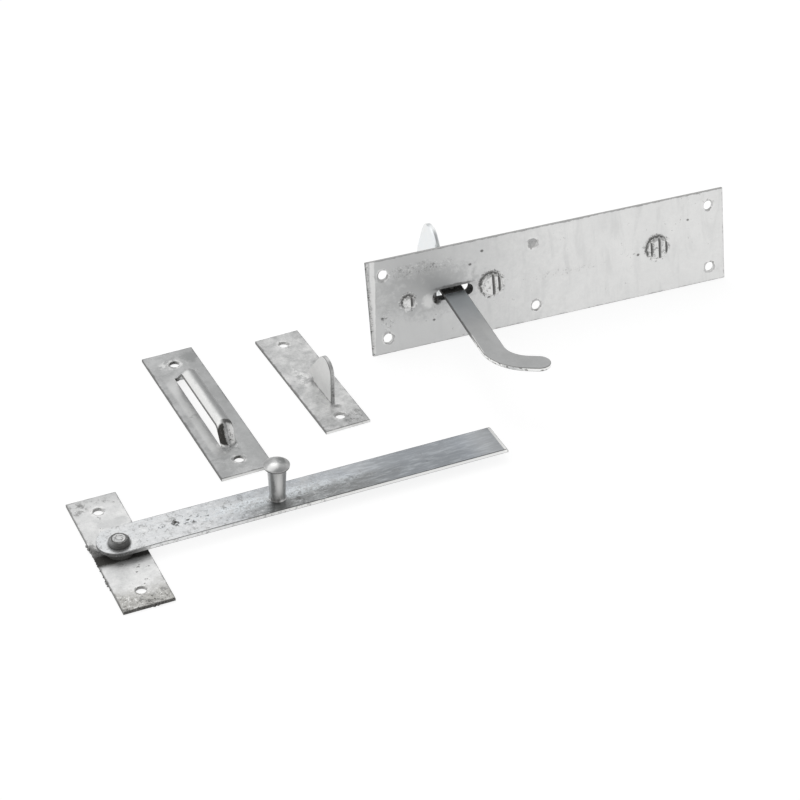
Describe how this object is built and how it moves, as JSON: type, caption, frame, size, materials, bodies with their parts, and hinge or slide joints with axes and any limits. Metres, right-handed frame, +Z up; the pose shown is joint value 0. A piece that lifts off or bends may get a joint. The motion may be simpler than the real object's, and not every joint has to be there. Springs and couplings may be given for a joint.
{
  "type": "suffolk latch",
  "caption": "Galvanised suffolk latch set: thumb lever and pull handle on a back plate, pivoting latch bar on its plate, strapped keep and hooked catch.",
  "frame": {"origin": "middle of the bar plate's two screw holes, on the floor that the set lies on", "axes": "+X along the latch bar from its pivot, +Y towards the standing handle plate, +Z up off the floor"},
  "size_m": [0.3849, 0.1906, 0.05],
  "materials": {
    "plate_zinc": "hot-dip zinc, mottled",
    "bar_zinc": "hot-dip zinc, mottled",
    "bright_zinc": "hot-dip zinc, bright",
    "forged_zinc": "hot-dip zinc, dull",
    "lever_zinc": "hot-dip zinc, smooth"
  },
  "bodies": {
    "latch_set": {"bar_plate": "plate_zinc", "pivot_rivet": "bright_zinc", "spacer_washer": "bright_zinc", "keep_plate": "plate_zinc", "catch_plate": "plate_zinc", "catch_hook": "plate_zinc", "handle_plate": "plate_zinc", "pull_handle": "forged_zinc", "lever_pin": "forged_zinc"},
    "latch_bar": {"latch_bar": "bar_zinc", "lifting_knob": "bright_zinc"},
    "thumb_lever": {"thumb_lever": "lever_zinc"}
  },
  "joints": [
    {"name": "bar_pivot", "type": "hinge", "parent": "latch_set", "child": "latch_bar", "pos_m": [0, -0.001, 0.0043], "axis": [0, 0, 1], "range_deg": [-90, 20]},
    {"name": "lever_pivot", "type": "hinge", "parent": "latch_set", "child": "thumb_lever", "pos_m": [0.21649, 0.10504, 0.02426], "axis": [-0.0079, -0.2197, -0.9755], "range_deg": [-28, 22]}
  ]
}
